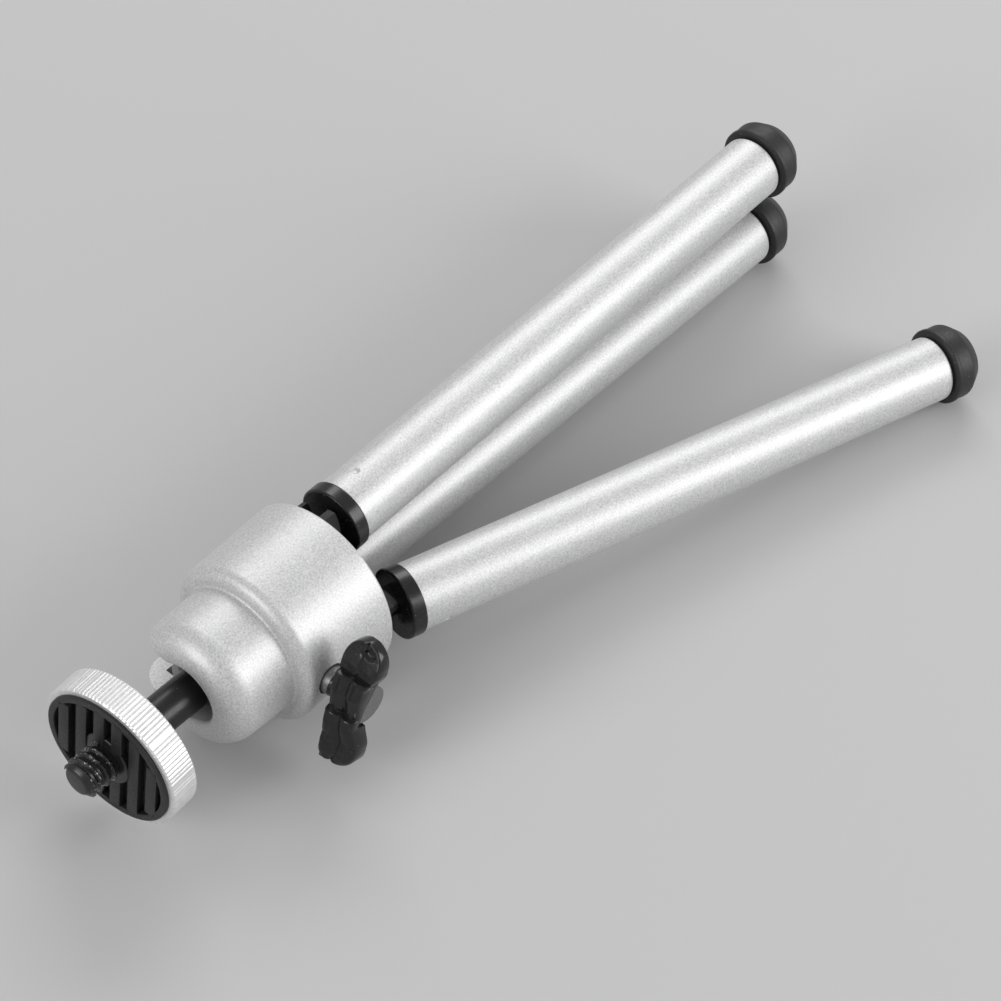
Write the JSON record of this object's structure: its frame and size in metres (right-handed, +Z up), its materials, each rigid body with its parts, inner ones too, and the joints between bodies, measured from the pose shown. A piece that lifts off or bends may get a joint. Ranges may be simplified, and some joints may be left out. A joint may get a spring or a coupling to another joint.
{
  "type": "mini tripod",
  "caption": "Pocket table tripod lying on its side: silver ball head with wing knob, knurled camera platform, and folding telescopic legs with rubber feet.",
  "frame": {"origin": "middle of the bounding box's base, on the table that the tripod lies on", "axes": "+Z up from the table, +X along the head from the legs towards the camera screw, +Y to the left of that"},
  "size_m": [0.1602, 0.0572, 0.0274],
  "materials": {
    "silver_paint": "silver metallic paint, semi-gloss",
    "bright_metal": "bright turned metal",
    "dull_steel": "plain steel",
    "black_steel": "black, glossy",
    "black_plastic": "moulded, glossy",
    "knob_plastic": "moulded, glossy, slightly translucent",
    "grey_plastic": "moulded, matte",
    "rubber": "moulded, satin"
  },
  "bodies": {
    "head": {"head_housing": "silver_paint", "ball_liner": "grey_plastic", "leg_hub": "black_plastic", "hub_screws": "dull_steel", "hinge_pin_a": "dull_steel", "hinge_pin_b": "dull_steel", "hinge_pin_c": "dull_steel"},
    "cup": {"pressure_cup": "grey_plastic"},
    "washer": {"clamp_washer": "bright_metal"},
    "knob": {"clamp_screw": "dull_steel", "wing_knob": "knob_plastic"},
    "ball": {"ball": "black_steel"},
    "stem": {"ball_stem": "black_steel"},
    "platform": {"platform_disc": "bright_metal", "rubber_pad": "rubber", "camera_screw": "black_steel"},
    "leg_a": {"leg_cap_a": "black_plastic", "outer_tube_a": "silver_paint"},
    "leg_a_extension": {"inner_tube_a": "bright_metal", "tube_bush_a": "grey_plastic", "foot_a": "rubber"},
    "leg_b": {"leg_cap_b": "black_plastic", "outer_tube_b": "silver_paint"},
    "leg_b_extension": {"inner_tube_b": "bright_metal", "tube_bush_b": "grey_plastic", "foot_b": "rubber"},
    "leg_c": {"leg_cap_c": "black_plastic", "outer_tube_c": "silver_paint"},
    "leg_c_extension": {"inner_tube_c": "bright_metal", "tube_bush_c": "grey_plastic", "foot_c": "rubber"}
  },
  "joints": [
    {"name": "fold_a", "type": "hinge", "parent": "head", "child": "leg_a", "pos_m": [0.03383, -0.01852, 0.02243], "axis": [-0.0103, 0.922, 0.387], "range_deg": [-0.8, 48.4]},
    {"name": "fold_b", "type": "hinge", "parent": "head", "child": "leg_b", "pos_m": [0.03426, -0.02057, 0.00629], "axis": [-0.0161, -0.7963, 0.6047], "range_deg": [0, 50.8]},
    {"name": "fold_c", "type": "hinge", "parent": "head", "child": "leg_c", "pos_m": [0.03409, -0.00556, 0.01259], "axis": [0.0264, -0.1258, -0.9917], "range_deg": [-15, 34.2]},
    {"name": "extend_a", "type": "slide", "parent": "leg_a", "child": "leg_a_extension", "axis": [-0.9999, -0.0108, -0.0009], "range_m": [0, 0.06]},
    {"name": "extend_b", "type": "slide", "parent": "leg_b", "child": "leg_b_extension", "axis": [-0.9998, 0.0084, -0.0155], "range_m": [0, 0.06]},
    {"name": "extend_c", "type": "slide", "parent": "leg_c", "child": "leg_c_extension", "axis": [-0.961, 0.2701, -0.0599], "range_m": [0, 0.06]},
    {"name": "ball_sway", "type": "hinge", "parent": "head", "child": "ball", "pos_m": [0.05106, -0.01488, 0.01422], "axis": [-0.001, -0.9992, 0.0388], "range_deg": [-7, 7]},
    {"name": "ball_drop", "type": "hinge", "parent": "ball", "child": "stem", "pos_m": [0.05106, -0.01488, 0.01422], "axis": [0.0266, -0.0388, -0.9989], "range_deg": [-10, 90]},
    {"name": "platform_spin", "type": "hinge", "parent": "stem", "child": "platform", "pos_m": [0.0689, -0.01488, 0.0147], "axis": [0.9996, 0, 0.0267], "continuous": true},
    {"name": "clamp_travel", "type": "slide", "parent": "head", "child": "washer", "axis": [-0.0008, 0.9995, 0.031], "range_m": [0, 0.00105]},
    {"name": "clamp_turn", "type": "hinge", "parent": "washer", "child": "knob", "pos_m": [0.04306, -0.01488, 0.01401], "axis": [-0.0008, 0.9995, 0.031], "range_deg": [0, 540]},
    {"name": "cup_lift", "type": "slide", "parent": "head", "child": "cup", "axis": [-0.9996, 0, -0.0267], "range_m": [0, 0.00045]}
  ],
  "couplings": [
    {"joint": "clamp_turn", "follows": "clamp_travel", "rad_per_m": 8975.9},
    {"joint": "cup_lift", "follows": "clamp_travel", "ratio": 0.428}
  ]
}
